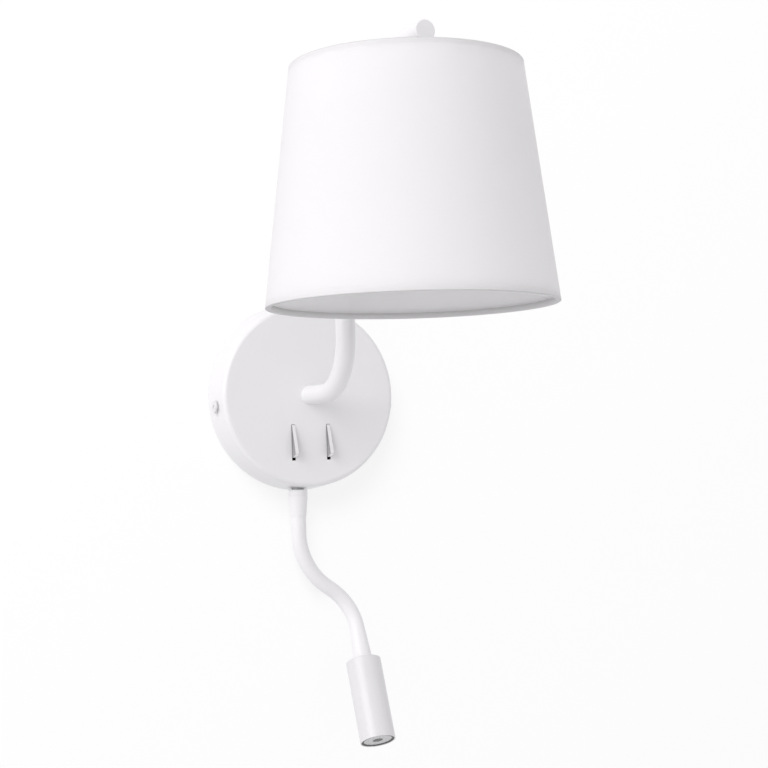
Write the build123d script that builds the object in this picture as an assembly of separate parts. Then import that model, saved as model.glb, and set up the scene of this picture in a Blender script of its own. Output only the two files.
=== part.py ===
from build123d import *
import math
import os

# Bedside wall lamp: a round canopy on the wall, a bent arm that carries a tapered fabric
# shade, two rocker switches and a flexible neck with a small reading head.
# Millimetres. +Z is up, the wall is the plane y = 0 and the lamp stands out along -Y.
# The origin is the middle of the wall bracket's two fixing slots.

# ---- Canopy on the wall ----
CANOPY_WALL_R = 62.5       # outside radius at the wall
CANOPY_FRONT_R = 60.0      # outside radius at the front, before the edge is rounded
CANOPY_DEPTH = 23.0
CANOPY_EDGE_R = 3.0
CANOPY_SKIN = 1.2

# ---- Wall bracket ----
BRACKET_THICK = 2.0
BRACKET_HEIGHT = 36.0
BRACKET_CORNER_R = 3.0
TAB_HEIGHT = 15.0
TAB_REACH = 16.0           # how far a tab stands out from the wall
TAB_WALL_GAP = 2.0         # between a tab and the inside of the canopy, on the centre line
SLOT_SPACING = 70.0
SLOT_LENGTH = 14.0
SLOT_WIDTH = 5.2
CABLE_HOLE_R = 11.0
EARTH_X = 19.5
EARTH_SCREW_R = 2.0
EARTH_HEAD_R = 3.6
EARTH_HEAD_H = 2.4
EARTH_WASHER_R = 4.4
EARTH_WASHER_H = 0.8

# ---- Canopy screws, one at each side ----
SIDE_SCREW_DROP = 6.5      # below the middle of the canopy
SIDE_SCREW_DEPTH = 11.0    # from the wall
SIDE_SCREW_R = 2.0
SIDE_HEAD_R = 4.0
SIDE_HEAD_H = 1.2
SIDE_DRIVE_R = 1.3
SIDE_DRIVE_DEPTH = 0.7

# ---- Arm ----
ARM_R = 6.25
ARM_WALL = 1.0
ARM_STANDOFF = 84.0        # wall to the middle of the upright
ARM_BEND_R = 34.0
ARM_TOP_Z = 197.5          # middle of the bar over the shade
BAR_OVERHANG = 26.5        # axis of the shade to the end of the bar
CAP_THICK = 2.0
CAP_PLUG = 6.0
CAP_EDGE_R = 0.8
STUD_R = 5.0
STUD_BORE_R = 3.7
STUD_IN_ARM = 14.0
STUD_IN_CANOPY = 9.0
NUT_FLATS = 14.0
NUT_THICK = 4.0
WASHER_R = 10.0
WASHER_THICK = 1.2

# ---- Shade ----
SHADE_BOTTOM_R = 85.0
SHADE_TOP_R = 68.0
SHADE_HEIGHT = 139.0
SHADE_STANDOFF = 181.5     # wall to the axis of the shade
COVER_THICK = 0.5
LINER_THICK = 0.45
TRIM_THICK = 0.4
TRIM_INSIDE = 3.3          # height of the hem on the inside of the shade
RING_WIRE_R = 0.9
SKIN_GAP = 0.05            # between layers that are glued together
FITTER_DROP = 15.0         # top of the shade to the top of the fitter washer
FITTER_HOLE_R = 20.2
FITTER_R = 27.0
FITTER_THICK = 1.6
SPOKE_R = 1.5
SPOKE_TIP_R = 0.82         # the thinned end that is welded to the ring wire
SPOKE_COUNT = 3
SPOKE_TURN = 30.0          # turns the spokes clear of the arm

# ---- Lampholder, with the screw shell for a 27 mm lamp cap ----
HOLDER_BODY_R = 19.6
HOLDER_WALL = 2.2
HOLDER_BODY_H = 34.0
HOLDER_FLANGE_R = 23.0
HOLDER_FLANGE_H = 2.0
HOLDER_NECK_R = 8.0
HOLDER_NECK_H = 4.0
HOLDER_CAP_H = 20.0
NIPPLE_R = 5.0
NIPPLE_BORE_R = 3.5
NIPPLE_IN_HOLDER = 9.0
NIPPLE_COLLAR_R = 8.0
NIPPLE_COLLAR_H = 1.75     # underside of the bar to the top of the lampholder
CLAMP_RING_R = 28.0
CLAMP_RING_H = 6.0
CLAMP_RING_NOTCHES = 12
CLAMP_NOTCH_R = 2.2
CORE_H = 15.0
SHELL_BORE_R = 13.6
SHELL_WALL = 0.5
SHELL_H = 15.0
CONTACT_R = 4.0
CONTACT_H = 1.4

# ---- Lamp bulb ----
BULB_CAP_R = 13.2
BULB_CAP_H = 23.0
BULB_TIP_R = 4.5
BULB_TIP_H = 1.6
BULB_BODY_H = 18.0
BULB_GLOBE_R = 22.5
BULB_GLOBE_DROP = 53.0     # lamp contact to the middle of the globe
BULB_GLASS = 1.0

# ---- Rocker switches ----
ROCKER_OFFSET = 12.4       # from the middle of the canopy, left and right
ROCKER_MID_Z = -30.9
ROCKER_WIDTH = 2.2
ROCKER_LENGTH = 20.8
ROCKER_TILT = 17.0         # either way from the middle of the travel
ROCKER_PIVOT_DEPTH = 3.0   # behind the face of the canopy
ROCKER_FACE_REACH = 6.4    # pivot to the face of the rocker
ROCKER_BACK_REACH = 3.6
ROCKER_END_R = 1.1
ROCKER_GAP = 0.25          # beside the rocker in its slot
ROCKER_SLOT_HALF = 11.8
PIN_R = 1.25
PIN_CLEAR = 0.06
PIN_BEARING = 1.6          # how far each end of the pin runs in the housing
HOUSING_WALL = 2.6
HOUSING_DEPTH = 13.6
TAG_WIDTH = 4.0
TAG_THICK = 0.8
TAG_LENGTH = 3.6
TAG_OFFSET = 7.0           # above and below the middle of the switch

# ---- Driver and terminal block ----
DRIVER_SIZE = (48.0, 15.0, 26.0)
DRIVER_X = 6.0
DRIVER_Z = 31.0
DRIVER_CORNER_R = 1.5
TERMINAL_SIZE = (22.0, 12.0, 12.0)
TERMINAL_X = -33.0
TERMINAL_Z = 27.0
TERMINAL_POLES = 3
TERMINAL_SCREW_R = 1.9
TERMINAL_SCREW_DEPTH = 3.0

# ---- Flexible neck ----
NECK_X = -5.8
NECK_Y = -11.5
NECK_R = 4.95
NECK_BORE_R = 2.8
UPPER_SLEEVE_TOP_R = 6.4
UPPER_SLEEVE_END_R = 5.2
UPPER_SLEEVE_H = 17.5
UPPER_SLEEVE_GRIP = 1.0    # the sleeve's top lies this far below the curve over its middle
UPPER_COLLAR_H = 3.7       # top of the sleeve to the groove below its collar
UPPER_COLLAR_EDGE = 0.3
UPPER_GROOVE = 0.3         # height and depth of the groove
UPPER_STRAIGHT_H = 5.5     # the sleeve tapers below this
NECK_STUD_R = 4.0
NECK_STUD_UP = 9.0
NECK_NUT_FLATS = 13.0
NECK_NUT_THICK = 4.0
NECK_NUT_GAP = 0.1         # the nut's corners stand off the canopy's curve by this
NECK_CORNER_A = (NECK_X, NECK_Y, -112.9)
NECK_CORNER_B = (31.8, -11.5, -140.3)
NECK_END = (30.2, -29.4, -175.5)
NECK_BEND_A = 44.0
NECK_BEND_B = 30.0
LOWER_SLEEVE_H = 21.5
LOWER_SLEEVE_TOP_R = 5.1
LOWER_SLEEVE_END_R = 6.3
SLEEVE_NECK_GAP = 0.05

# ---- Reading head ----
HEAD_R = 11.5
HEAD_LENGTH = 55.0
HEAD_WALL = 0.8
HEAD_TOP_THICK = 4.0
HEAD_TOP_EDGE_R = 0.8
HEAD_RIM_EDGE_R = 0.25
HEAD_STUD_R = 3.5
HEAD_STUD_IN = 9.0
HEAD_NUT_FLATS = 10.0
HEAD_NUT_THICK = 3.0
SLUG_H = 24.0
SLUG_GROOVES = 5
SLUG_GROOVE_W = 1.8
SLUG_GROOVE_DEPTH = 1.6
BOARD_THICK = 1.6
CHIP_SIZE = 3.5
CHIP_H = 0.8
CHIP_DOME_R = 1.3
LENS_FRONT_R = 9.2
LENS_BACK_R = 3.6
LENS_H = 11.0
LENS_LIP_R = 10.4
LENS_LIP_H = 1.2
LENS_RECESS = 1.6          # rim of the head to the seat of the lens ring
LENS_RISE = 0.9            # the face of the lens stands in the bore of its ring
LENS_POCKET_R = 2.6
LENS_POCKET_DEPTH = 3.2
LENS_GAP = 0.2
LENS_RING_H = 1.2
LENS_RING_BORE_R = 9.4
HEAD_FIT = 0.1

# ---- Leads held inside the lamp ----
LAMP_LEAD_R = 2.4
READER_LEAD_R = 1.4

# ---- Values that follow from the sizes above ----
CANOPY_FACE_Y = -CANOPY_DEPTH
CANOPY_INSIDE_Y = -(CANOPY_DEPTH - CANOPY_SKIN)
ARM_BORE_R = ARM_R - ARM_WALL
ARM_REACH = SHADE_STANDOFF + BAR_OVERHANG
ARM_UNDERSIDE_Z = ARM_TOP_Z - ARM_R
HOLDER_CAP_TOP_Z = ARM_UNDERSIDE_Z - NIPPLE_COLLAR_H
HOLDER_BODY_TOP_Z = HOLDER_CAP_TOP_Z - HOLDER_CAP_H
HOLDER_BODY_END_Z = HOLDER_BODY_TOP_Z - HOLDER_BODY_H
FITTER_TOP_Z = HOLDER_BODY_TOP_Z - HOLDER_FLANGE_H
SHADE_TOP_Z = FITTER_TOP_Z + FITTER_DROP
SHADE_BOTTOM_Z = SHADE_TOP_Z - SHADE_HEIGHT
SHADE_AXIS = Location((0, -SHADE_STANDOFF, 0))
HOLDER_SHELL_TOP_Z = HOLDER_BODY_TOP_Z - CORE_H
BULB_TIP_Z = HOLDER_SHELL_TOP_Z - CONTACT_H
BULB_CAP_END_Z = BULB_TIP_Z - BULB_TIP_H - BULB_CAP_H
BULB_BODY_END_Z = BULB_CAP_END_Z - BULB_BODY_H
BULB_GLOBE_Z = BULB_TIP_Z - BULB_GLOBE_DROP
ROCKER_PIVOT_Y = CANOPY_FACE_Y + ROCKER_PIVOT_DEPTH
ROCKER_SLOT_WIDTH = ROCKER_WIDTH + 2 * ROCKER_GAP
HOUSING_BACK_Y = CANOPY_INSIDE_Y + HOUSING_DEPTH


def canopy_radius(depth):
    """Outside radius of the canopy at a distance from the wall."""
    return CANOPY_WALL_R + (CANOPY_FRONT_R - CANOPY_WALL_R) * depth / CANOPY_DEPTH


def shade_radius(z, inset=0.0):
    """Outside radius of the shade at a height, less an inset into its wall."""
    share = (SHADE_TOP_Z - z) / SHADE_HEIGHT
    return SHADE_TOP_R + (SHADE_BOTTOM_R - SHADE_TOP_R) * share - inset


def turned_z(points):
    """Turn (radius, z) points about the vertical axis."""
    outline = make_face(Polyline(*[(r, 0, z) for r, z in points], close=True))
    return revolve(outline, Axis.Z)


def turned_y(points):
    """Turn (radius, y) points about the axis that stands out from the wall."""
    outline = make_face(Polyline(*[(r, y, 0) for r, y in points], close=True))
    return revolve(outline, Axis.Y)


def rod(start, end, radius):
    """A round bar between two points."""
    line = Line(start, end)
    return sweep(Plane(origin=start, z_dir=line % 0) * Circle(radius), line)


def box_between(low, high):
    """A block given by its lowest and highest corners."""
    size = [b - a for a, b in zip(low, high)]
    middle = [(a + b) / 2 for a, b in zip(low, high)]
    return Location(middle) * Box(*size)


def hexagon(flats, thick):
    """A nut blank, standing on z = 0."""
    return extrude(RegularPolygon(flats / 2, 6, major_radius=False), thick)


def ring(outer, inner, thick):
    """A flat ring, standing on z = 0."""
    return extrude(Circle(outer) - Circle(inner), thick)


# The canopy's own axis: a part made standing on z = 0 is laid with its foot at the wall
# and its top pointing out along -Y.
def facing_out(y, x=0.0, z=0.0):
    return Location(Plane(origin=(x, y, z), x_dir=(1, 0, 0), z_dir=(0, -1, 0)))


# ---- Wall bracket ----
def tab_outside_x():
    inside = canopy_radius(SIDE_SCREW_DEPTH) - CANOPY_SKIN
    return inside - TAB_WALL_GAP


def wall_bracket():
    half_x = tab_outside_x()
    plate = Rectangle(2 * half_x, BRACKET_HEIGHT)
    plate = fillet(plate.vertices(), BRACKET_CORNER_R)
    plate -= Circle(CABLE_HOLE_R)
    slot = SlotOverall(SLOT_LENGTH, SLOT_WIDTH)
    plate -= [Location((side * SLOT_SPACING / 2, 0)) * slot for side in (-1, 1)]
    plate -= Location((EARTH_X, 0)) * Circle(EARTH_SCREW_R)
    bracket = facing_out(0) * extrude(plate, BRACKET_THICK)
    for side in (-1, 1):
        outer = side * half_x
        inner = side * (half_x - BRACKET_THICK)
        low = (min(outer, inner), -TAB_REACH, -SIDE_SCREW_DROP - TAB_HEIGHT / 2)
        high = (max(outer, inner), 0, -SIDE_SCREW_DROP + TAB_HEIGHT / 2)
        tab = box_between(low, high)
        corners = tab.edges().filter_by(Axis.X).sort_by(Axis.Y)[:2]
        tab = fillet(corners, BRACKET_CORNER_R)
        hole = rod((outer - side * 2 * BRACKET_THICK, -SIDE_SCREW_DEPTH, -SIDE_SCREW_DROP),
                   (outer + side * BRACKET_THICK, -SIDE_SCREW_DEPTH, -SIDE_SCREW_DROP),
                   SIDE_SCREW_R + SKIN_GAP)
        bracket = bracket + tab - hole
    return bracket


def earth_screw():
    """Earth screw and its washer on the front of the bracket."""
    washer = ring(EARTH_WASHER_R, EARTH_SCREW_R + SKIN_GAP, EARTH_WASHER_H)
    head = Cylinder(EARTH_HEAD_R, EARTH_HEAD_H, align=(Align.CENTER, Align.CENTER, Align.MIN))
    head = fillet(head.edges().group_by(Axis.Z)[-1], EARTH_HEAD_H / 3)
    slot_depth = EARTH_HEAD_H / 2
    head -= Location((0, 0, EARTH_HEAD_H)) * Box(2 * EARTH_HEAD_R, EARTH_WASHER_H, 2 * slot_depth)
    shank = Cylinder(EARTH_SCREW_R - SKIN_GAP, BRACKET_THICK + EARTH_WASHER_H,
                     align=(Align.CENTER, Align.CENTER, Align.MAX))
    screw = Location((0, 0, EARTH_WASHER_H)) * (head + shank)
    place = facing_out(-BRACKET_THICK, EARTH_X)
    return Compound(children=[place * washer, place * screw])


# ---- Canopy ----
def canopy():
    outside = turned_y([(0, 0), (CANOPY_WALL_R, 0), (CANOPY_FRONT_R, -CANOPY_DEPTH), (0, -CANOPY_DEPTH)])
    outside = fillet(outside.edges().group_by(Axis.Y)[0], CANOPY_EDGE_R)
    inner_front = CANOPY_FRONT_R - CANOPY_SKIN
    inside = turned_y([(0, CANOPY_SKIN), (CANOPY_WALL_R, CANOPY_SKIN), (CANOPY_WALL_R - CANOPY_SKIN, 0),
                       (inner_front, CANOPY_INSIDE_Y), (0, CANOPY_INSIDE_Y)])
    inside = fillet(inside.edges().group_by(Axis.Y)[0], CANOPY_EDGE_R - CANOPY_SKIN)
    shell = outside - inside
    shell -= facing_out(0) * Cylinder(STUD_R + 4 * SKIN_GAP, 3 * CANOPY_DEPTH)
    for side in (-1, 1):
        slot = Box(ROCKER_SLOT_WIDTH, 3 * CANOPY_SKIN, 2 * ROCKER_SLOT_HALF)
        shell -= Location((side * ROCKER_OFFSET, CANOPY_FACE_Y, ROCKER_MID_Z)) * slot
        shell -= rod((side * CANOPY_FRONT_R / 2, -SIDE_SCREW_DEPTH, -SIDE_SCREW_DROP),
                     (side * 2 * CANOPY_WALL_R, -SIDE_SCREW_DEPTH, -SIDE_SCREW_DROP),
                     SIDE_SCREW_R + SKIN_GAP)
    shell -= rod((NECK_X, NECK_Y, -CANOPY_FRONT_R / 2), (NECK_X, NECK_Y, -2 * CANOPY_WALL_R),
                 NECK_STUD_R + SKIN_GAP)
    return shell


def canopy_side_screws():
    """The screw at each side that draws the canopy onto the bracket."""
    seat_x = canopy_radius(SIDE_SCREW_DEPTH - SIDE_HEAD_R)
    length = seat_x - tab_outside_x() + 2 * BRACKET_THICK
    head = Cylinder(SIDE_HEAD_R, SIDE_HEAD_H, align=(Align.CENTER, Align.CENTER, Align.MIN))
    head = fillet(head.edges().group_by(Axis.Z)[-1], SIDE_HEAD_H / 3)
    drive = extrude(RegularPolygon(SIDE_DRIVE_R, 6), -SIDE_DRIVE_DEPTH)
    head -= Location((0, 0, SIDE_HEAD_H)) * drive
    shank = Cylinder(SIDE_SCREW_R, length, align=(Align.CENTER, Align.CENTER, Align.MAX))
    screw = head + shank
    screws = []
    for side in (-1, 1):
        seat = Plane(origin=(side * seat_x, -SIDE_SCREW_DEPTH, -SIDE_SCREW_DROP),
                     x_dir=(0, 0, 1), z_dir=(side, 0, 0))
        screws.append(Location(seat) * screw)
    return Compound(children=screws)


# ---- Arm ----
def arm_path(start, end):
    """Middle line of the arm: out from the canopy, up behind the shade and out over it."""
    return FilletPolyline(start, (0, -ARM_STANDOFF, 0), (0, -ARM_STANDOFF, ARM_TOP_Z), end,
                          radius=ARM_BEND_R)


def arm_tube():
    start = (0, CANOPY_FACE_Y, 0)
    path = arm_path(start, (0, CAP_THICK - ARM_REACH, ARM_TOP_Z))
    section = facing_out(CANOPY_FACE_Y).position
    tube = sweep(Plane(origin=section, z_dir=(0, -1, 0)) * (Circle(ARM_R) - Circle(ARM_BORE_R)), path)
    hole = rod((0, -SHADE_STANDOFF, ARM_TOP_Z), (0, -SHADE_STANDOFF, ARM_TOP_Z - 2 * ARM_R),
               NIPPLE_R + SKIN_GAP)
    return tube - hole


def arm_end_cap():
    disc = Cylinder(ARM_R, CAP_THICK, align=(Align.CENTER, Align.CENTER, Align.MIN))
    disc = fillet(disc.edges().group_by(Axis.Z)[-1], CAP_EDGE_R)
    plug = Cylinder(ARM_BORE_R - SKIN_GAP, CAP_PLUG, align=(Align.CENTER, Align.CENTER, Align.MAX))
    return facing_out(CAP_THICK - ARM_REACH, 0, ARM_TOP_Z) * (disc + plug)


def arm_stud():
    """Threaded tube in the foot of the arm; it passes through the canopy."""
    length = STUD_IN_ARM + CANOPY_SKIN + STUD_IN_CANOPY
    tube = ring(STUD_R, STUD_BORE_R, length)
    sleeve = ring(ARM_BORE_R - SKIN_GAP, STUD_BORE_R, STUD_IN_ARM / 2)
    foot_y = CANOPY_INSIDE_Y + STUD_IN_CANOPY
    return facing_out(foot_y) * (tube + Location((0, 0, length - STUD_IN_ARM / 2)) * sleeve)


def arm_washer():
    return facing_out(CANOPY_INSIDE_Y + WASHER_THICK) * ring(WASHER_R, STUD_R + 2 * SKIN_GAP, WASHER_THICK)


def arm_nut():
    bore = Cylinder(STUD_R + SKIN_GAP, 3 * NUT_THICK)
    return facing_out(CANOPY_INSIDE_Y + WASHER_THICK + NUT_THICK) * (hexagon(NUT_FLATS, NUT_THICK) - bore)


# ---- Shade ----
def shade_band(z_low, z_high, inset_out, inset_in):
    """A conical band of the shade's wall between two insets from its outside."""
    return turned_z([(shade_radius(z_low, inset_out), z_low), (shade_radius(z_high, inset_out), z_high),
                     (shade_radius(z_high, inset_in), z_high), (shade_radius(z_low, inset_in), z_low)])


def layer_insets():
    """Insets of the outside and inside of the liner; the cover lies over it."""
    liner_out = COVER_THICK + SKIN_GAP
    return liner_out, liner_out + LINER_THICK


def shade_cover():
    low = SHADE_BOTTOM_Z + TRIM_THICK
    high = SHADE_TOP_Z - TRIM_THICK
    return SHADE_AXIS * shade_band(low, high, 0, COVER_THICK)


def shade_liner():
    liner_out, liner_in = layer_insets()
    low = SHADE_BOTTOM_Z + TRIM_THICK
    high = SHADE_TOP_Z - TRIM_THICK
    return SHADE_AXIS * shade_band(low, high, liner_out, liner_in)


def wire_inset():
    """Inset from the shade's outside to the inner face of the hem around the ring wire."""
    return layer_insets()[1] + 2 * RING_WIRE_R + 2 * SKIN_GAP + TRIM_THICK


def shade_trim(edge_z, inward):
    """The hem turned in over a ring wire; inward is +1 at the bottom edge, -1 at the top."""
    deep = wire_inset()
    web = edge_z + inward * TRIM_THICK
    inner_end = edge_z + inward * TRIM_INSIDE
    points = [(shade_radius(edge_z), edge_z), (shade_radius(web), web),
              (shade_radius(web, deep - TRIM_THICK), web),
              (shade_radius(inner_end, deep - TRIM_THICK), inner_end),
              (shade_radius(inner_end, deep), inner_end), (shade_radius(edge_z, deep), edge_z)]
    return SHADE_AXIS * turned_z(points)


def ring_centre(edge_z, inward):
    """Radius and height of a ring wire's middle line."""
    z = edge_z + inward * (TRIM_THICK + RING_WIRE_R + SKIN_GAP)
    return shade_radius(z, layer_insets()[1] + RING_WIRE_R + SKIN_GAP), z


def shade_bottom_ring():
    radius, z = ring_centre(SHADE_BOTTOM_Z, 1)
    return SHADE_AXIS * Location((0, 0, z)) * Torus(radius, RING_WIRE_R)


def shade_carrier():
    """Top ring wire, three spokes and the fitter washer, welded together."""
    radius, z = ring_centre(SHADE_TOP_Z, -1)
    frame = Location((0, 0, z)) * Torus(radius, RING_WIRE_R)
    fitter_z = FITTER_TOP_Z - FITTER_THICK
    frame += Location((0, 0, fitter_z)) * ring(FITTER_R, FITTER_HOLE_R, FITTER_THICK)
    foot_r = FITTER_R - SPOKE_R
    below_trim_z = SHADE_TOP_Z - TRIM_INSIDE - 2 * SPOKE_R
    knee_r = shade_radius(below_trim_z, layer_insets()[1] + SPOKE_R + 2 * SKIN_GAP)
    for i in range(SPOKE_COUNT):
        turn = Rotation(0, 0, SPOKE_TURN + 360 * i / SPOKE_COUNT)
        foot = (foot_r, 0, fitter_z - SPOKE_R / 2)
        knee = (knee_r, 0, below_trim_z)
        spoke = rod(foot, knee, SPOKE_R) + Location(knee) * Sphere(SPOKE_R)
        spoke += rod(knee, (radius, 0, z), SPOKE_TIP_R)
        spoke -= box_between((0, -SPOKE_R, fitter_z - 3 * SPOKE_R), (foot_r - SPOKE_R, SPOKE_R, z))
        frame += turn * spoke
    return SHADE_AXIS * frame


# ---- Lampholder ----
def holder_nipple():
    """Threaded tube from the bar down into the lampholder, with a collar under the bar."""
    end_z = HOLDER_CAP_TOP_Z - NIPPLE_IN_HOLDER
    top_z = ARM_TOP_Z - ARM_BORE_R
    tube = Location((0, 0, end_z)) * ring(NIPPLE_R, NIPPLE_BORE_R, top_z - end_z)
    collar_h = NIPPLE_COLLAR_H + ARM_R
    collar = Location((0, 0, HOLDER_CAP_TOP_Z)) * ring(NIPPLE_COLLAR_R, NIPPLE_BORE_R, collar_h)
    along_bar = rod((0, -2 * NIPPLE_COLLAR_R, ARM_TOP_Z), (0, 2 * NIPPLE_COLLAR_R, ARM_TOP_Z),
                    ARM_R + SKIN_GAP)
    above = box_between((-ARM_R * 2, -ARM_R * 2, ARM_TOP_Z - ARM_R / 2), (ARM_R * 2, ARM_R * 2, ARM_TOP_Z + ARM_R))
    return SHADE_AXIS * (collar - along_bar - above + tube)


def holder_cap():
    """Upper half of the lampholder, a domed cover with a threaded neck."""
    low = HOLDER_BODY_TOP_Z
    high = HOLDER_CAP_TOP_Z
    neck_z = high - HOLDER_NECK_H
    shoulder_z = low + HOLDER_CAP_H / 3
    outer = [(0, low), (HOLDER_BODY_R, low), (HOLDER_BODY_R, shoulder_z),
             (HOLDER_NECK_R + HOLDER_WALL, neck_z), (HOLDER_NECK_R, neck_z), (HOLDER_NECK_R, high), (0, high)]
    inner_r = HOLDER_BODY_R - HOLDER_WALL
    inner = [(0, low), (inner_r, low), (inner_r, shoulder_z - HOLDER_WALL / 2),
             (HOLDER_NECK_R, neck_z - HOLDER_WALL), (0, neck_z - HOLDER_WALL)]
    cover = turned_z(outer) - turned_z(inner)
    bore = Location((0, 0, high)) * Cylinder(NIPPLE_R + SKIN_GAP, 2 * HOLDER_CAP_H)
    return SHADE_AXIS * (cover - bore)


def holder_body():
    """Lower half of the lampholder: a sleeve with a flange over the fitter washer."""
    low = HOLDER_BODY_END_Z
    high = HOLDER_BODY_TOP_Z
    sleeve = Location((0, 0, low)) * ring(HOLDER_BODY_R, HOLDER_BODY_R - HOLDER_WALL, high - low)
    flange = Location((0, 0, FITTER_TOP_Z)) * ring(HOLDER_FLANGE_R, HOLDER_BODY_R, HOLDER_FLANGE_H)
    return SHADE_AXIS * (sleeve + flange)


def holder_core():
    """Insulating block that carries the contacts."""
    core_r = HOLDER_BODY_R - HOLDER_WALL - 2 * SKIN_GAP
    block = Location((0, 0, HOLDER_SHELL_TOP_Z)) * Cylinder(
        core_r, CORE_H, align=(Align.CENTER, Align.CENTER, Align.MIN))
    entry = Cylinder(LAMP_LEAD_R + 2 * SKIN_GAP, CORE_H / 3, align=(Align.CENTER, Align.CENTER, Align.MAX))
    block -= Location((0, 0, HOLDER_BODY_TOP_Z)) * entry
    return SHADE_AXIS * block


def holder_screw_shell():
    shell = ring(SHELL_BORE_R + SHELL_WALL, SHELL_BORE_R, SHELL_H)
    return SHADE_AXIS * Location((0, 0, HOLDER_SHELL_TOP_Z - SHELL_H)) * shell


def holder_contact():
    spring = Cylinder(CONTACT_R, CONTACT_H, align=(Align.CENTER, Align.CENTER, Align.MAX))
    return SHADE_AXIS * Location((0, 0, HOLDER_SHELL_TOP_Z)) * spring


def shade_clamp_ring():
    """Notched ring that is screwed up against the fitter washer."""
    body = ring(CLAMP_RING_R, HOLDER_BODY_R + 4 * SKIN_GAP, CLAMP_RING_H)
    notch = Cylinder(CLAMP_NOTCH_R, 3 * CLAMP_RING_H)
    for i in range(CLAMP_RING_NOTCHES):
        body -= Rotation(0, 0, 360 * i / CLAMP_RING_NOTCHES) * Location((CLAMP_RING_R, 0, 0)) * notch
    top_z = FITTER_TOP_Z - FITTER_THICK
    spoke_room = SPOKE_R * 1.5 + SKIN_GAP
    step = ring(CLAMP_RING_R + 1, FITTER_R - 2 * SPOKE_R - 1, spoke_room)
    body -= Location((0, 0, CLAMP_RING_H - spoke_room)) * step
    return SHADE_AXIS * Location((0, 0, top_z - CLAMP_RING_H)) * body


# ---- Bulb ----
def bulb_contact():
    tip = turned_z([(0, BULB_TIP_Z), (BULB_TIP_R / 2, BULB_TIP_Z), (BULB_TIP_R, BULB_TIP_Z - BULB_TIP_H),
                    (0, BULB_TIP_Z - BULB_TIP_H)])
    return SHADE_AXIS * tip


def bulb_cap():
    top = BULB_TIP_Z - BULB_TIP_H
    body = Location((0, 0, top)) * Cylinder(BULB_CAP_R, BULB_CAP_H, align=(Align.CENTER, Align.CENTER, Align.MAX))
    body = chamfer(body.edges().group_by(Axis.Z)[-1], BULB_CAP_R - BULB_TIP_R - SHELL_WALL, BULB_CAP_H / 6)
    return SHADE_AXIS * body


def globe_mouth_r():
    """Radius of the globe where it meets the bulb's body."""
    return math.sqrt(BULB_GLOBE_R ** 2 - (BULB_BODY_END_Z - BULB_GLOBE_Z) ** 2)


def bulb_body():
    return SHADE_AXIS * turned_z([(0, BULB_CAP_END_Z), (BULB_CAP_R, BULB_CAP_END_Z),
                                  (globe_mouth_r(), BULB_BODY_END_Z), (0, BULB_BODY_END_Z)])


def bulb_globe():
    ball = Location((0, 0, BULB_GLOBE_Z)) * (Sphere(BULB_GLOBE_R) - Sphere(BULB_GLOBE_R - BULB_GLASS))
    above = box_between((-BULB_GLOBE_R, -BULB_GLOBE_R, BULB_BODY_END_Z),
                        (BULB_GLOBE_R, BULB_GLOBE_R, BULB_GLOBE_Z + 2 * BULB_GLOBE_R))
    return SHADE_AXIS * (ball - above)


# ---- Switches ----
def rocker(side):
    """A slim rocker on its pin, its lower end standing proud."""
    half = ROCKER_LENGTH / 2
    profile = make_face(Polyline((0, -ROCKER_FACE_REACH, -half), (0, -ROCKER_FACE_REACH, half),
                                 (0, 0, half), (0, ROCKER_BACK_REACH, 2 * PIN_R),
                                 (0, ROCKER_BACK_REACH, -2 * PIN_R), (0, 0, -half), close=True))
    paddle = extrude(profile, ROCKER_WIDTH / 2, both=True, dir=(1, 0, 0))
    face_ends = paddle.edges().filter_by(Axis.X).group_by(Axis.Y)[0]
    paddle = fillet(face_ends, ROCKER_END_R)
    pin_half = ROCKER_SLOT_WIDTH / 2 + PIN_BEARING
    paddle += rod((-pin_half, 0, 0), (pin_half, 0, 0), PIN_R)
    return Location((side * ROCKER_OFFSET, ROCKER_PIVOT_Y, ROCKER_MID_Z)) * Rotation(-ROCKER_TILT, 0, 0) * paddle


def switch_housing(side):
    """Open-fronted box behind the canopy's slot that carries the rocker's pin."""
    half_x = ROCKER_SLOT_WIDTH / 2 + HOUSING_WALL
    half_z = ROCKER_SLOT_HALF + HOUSING_WALL
    box = box_between((-half_x, CANOPY_INSIDE_Y, -half_z), (half_x, HOUSING_BACK_Y, half_z))
    inside_x = ROCKER_SLOT_WIDTH / 2
    room = box_between((-inside_x, CANOPY_INSIDE_Y - 1, -ROCKER_SLOT_HALF),
                       (inside_x, HOUSING_BACK_Y - HOUSING_WALL, ROCKER_SLOT_HALF))
    reach = inside_x + PIN_BEARING + PIN_CLEAR
    bore = rod((-reach, ROCKER_PIVOT_Y, 0), (reach, ROCKER_PIVOT_Y, 0), PIN_R + PIN_CLEAR)
    return Location((side * ROCKER_OFFSET, 0, ROCKER_MID_Z)) * (box - room - bore)


def switch_tags():
    """Brass connection tags on the backs of the two switches."""
    tags = []
    for side in (-1, 1):
        for step in (-1, 1):
            tag = Box(TAG_THICK, TAG_LENGTH, TAG_WIDTH, align=(Align.CENTER, Align.MIN, Align.CENTER))
            tag -= Location((0, TAG_LENGTH * 0.6, 0)) * Rotation(0, 90, 0) * Cylinder(TAG_WIDTH / 5, TAG_WIDTH)
            z = ROCKER_MID_Z + step * TAG_OFFSET
            tags.append(Location((side * ROCKER_OFFSET, HOUSING_BACK_Y, z)) * tag)
    return Compound(children=tags)


# ---- Inside the canopy ----
def led_driver():
    """Supply for the reading head, stuck to the inside of the canopy."""
    sx, sy, sz = DRIVER_SIZE
    box = Box(sx, sy, sz, align=(Align.CENTER, Align.MIN, Align.CENTER))
    box = fillet(box.edges().filter_by(Axis.Y), DRIVER_CORNER_R)
    return Location((DRIVER_X, CANOPY_INSIDE_Y, DRIVER_Z)) * box


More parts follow.
